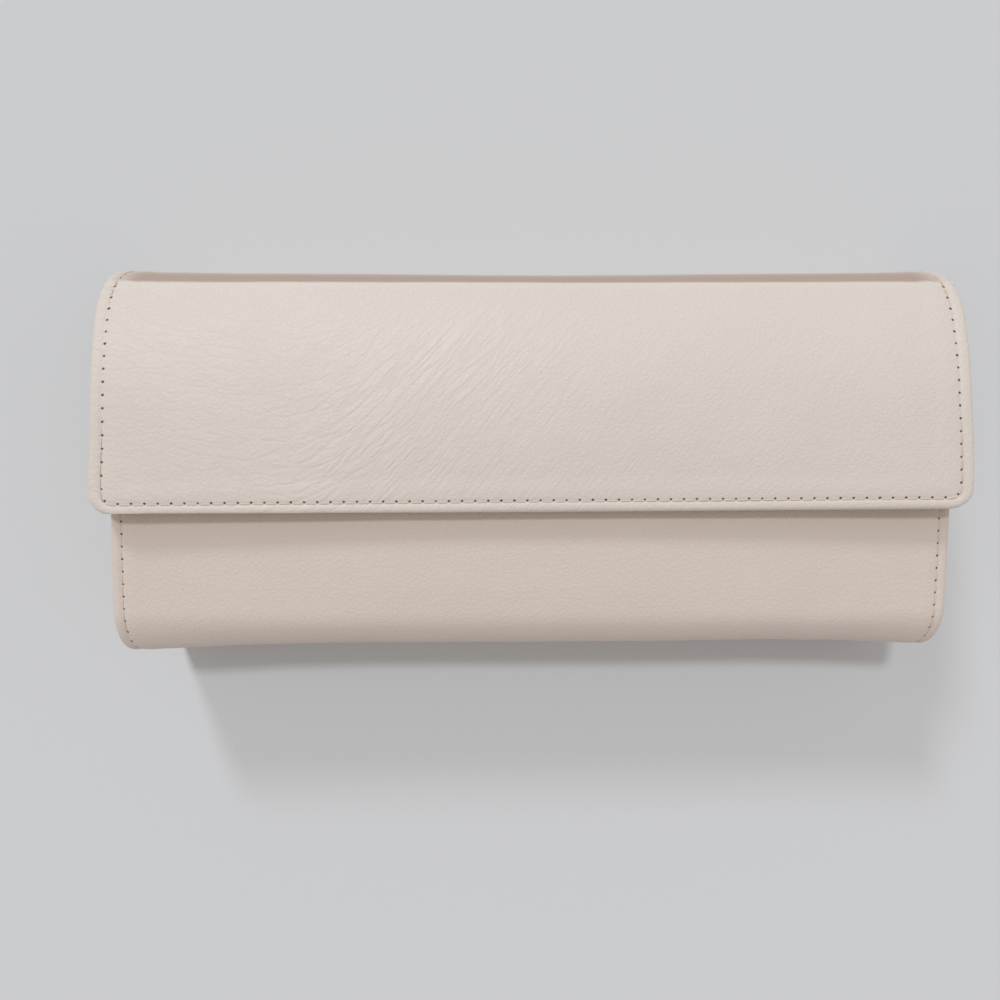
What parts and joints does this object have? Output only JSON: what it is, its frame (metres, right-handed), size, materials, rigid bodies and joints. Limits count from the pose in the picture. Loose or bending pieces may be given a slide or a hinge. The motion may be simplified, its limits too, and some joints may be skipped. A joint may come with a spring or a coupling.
{
  "type": "jewelry case",
  "caption": "Long clutch-shaped leather jewelry case with a fold-over magnetic flap, a suede tray with ring rolls and dividers, snap tabs and a zip pocket in the flap.",
  "frame": {"origin": "middle of the back face that the case lies on, at the centre of its width and height", "axes": "+X along the case's width, +Y from the bottom edge towards the folded spine, +Z from the back out of the front"},
  "size_m": [0.23, 0.1078, 0.0458],
  "materials": {
    "blush_leather": "pale blush pebbled leather with a soft satin sheen",
    "suede_lining": "matte suede-touch lining",
    "grey_board": "raw grey board, hidden between leather and lining",
    "foam_padding": "thin open foam, hidden in the flap",
    "sewing_thread": "matt twisted thread in the leather's colour",
    "magnet_steel": "plated steel",
    "pale_brass": "polished pale gold plating",
    "zip_tape": "fine woven tape in the lining's colour"
  },
  "bodies": {
    "case": {"back_leather": "blush_leather", "front_leather": "blush_leather", "gusset_left": "blush_leather", "gusset_right": "blush_leather", "front_lining": "suede_lining", "side_board_left": "suede_lining", "side_board_right": "suede_lining", "tray_floor": "suede_lining", "tray_wall_top": "suede_lining", "pocket_wall": "suede_lining", "divider_ring": "suede_lining", "divider_middle": "suede_lining", "divider_bracelet": "suede_lining", "ring_roll_1": "suede_lining", "ring_roll_2": "suede_lining", "ring_roll_3": "suede_lining", "back_board": "grey_board", "front_board": "grey_board", "bottom_board": "grey_board", "front_stitching_left": "sewing_thread", "front_stitching_right": "sewing_thread", "keeper_plate_left": "magnet_steel", "keeper_plate_right": "magnet_steel"},
    "spine": {"spine_leather": "blush_leather", "spine_board": "grey_board", "spine_lining": "suede_lining"},
    "flap": {"flap_leather": "blush_leather", "flap_foam": "foam_padding", "flap_board": "grey_board", "flap_lining": "suede_lining", "flap_magnet_left": "magnet_steel", "flap_magnet_right": "magnet_steel", "flap_stitching": "sewing_thread", "zip_tape_upper": "zip_tape", "zip_tape_lower": "zip_tape", "zip_teeth": "pale_brass", "zip_stop_left": "pale_brass", "zip_stop_right": "pale_brass", "tab_stud_1": "pale_brass", "tab_stud_2": "pale_brass", "tab_stud_3": "pale_brass"},
    "zip_slider": {"zip_slider": "pale_brass"},
    "zip_pull": {"zip_pull": "pale_brass"},
    "necklace_tab_1": {"necklace_tab_1": "blush_leather", "tab_snap_1": "pale_brass"},
    "necklace_tab_2": {"necklace_tab_2": "blush_leather", "tab_snap_2": "pale_brass"},
    "necklace_tab_3": {"necklace_tab_3": "blush_leather", "tab_snap_3": "pale_brass"}
  },
  "joints": [
    {"name": "spine_fold", "type": "hinge", "parent": "case", "child": "spine", "pos_m": [0, 0.05275, 0.00117], "axis": [-1, 0, 0], "range_deg": [0, 90]},
    {"name": "flap_fold", "type": "hinge", "parent": "spine", "child": "flap", "pos_m": [0, 0.04742, 0.036], "axis": [-1, 0, 0], "range_deg": [0, 84]},
    {"name": "zip_travel", "type": "slide", "parent": "flap", "child": "zip_slider", "axis": [1, 0, 0], "range_m": [0, 0.1364]},
    {"name": "zip_pull_swing", "type": "hinge", "parent": "zip_slider", "child": "zip_pull", "pos_m": [-0.0682, 0.01555, 0.03551], "axis": [0, -0.9914, 0.131], "range_deg": [-75, 75]},
    {"name": "tab_fold_1", "type": "hinge", "parent": "flap", "child": "necklace_tab_1", "pos_m": [-0.07, 0.03867, 0.03392], "axis": [1, 0, 0], "range_deg": [0, 75]},
    {"name": "tab_fold_2", "type": "hinge", "parent": "flap", "child": "necklace_tab_2", "pos_m": [0, 0.03867, 0.03392], "axis": [1, 0, 0], "range_deg": [0, 75]},
    {"name": "tab_fold_3", "type": "hinge", "parent": "flap", "child": "necklace_tab_3", "pos_m": [0.07, 0.03867, 0.03392], "axis": [1, 0, 0], "range_deg": [0, 75]}
  ]
}
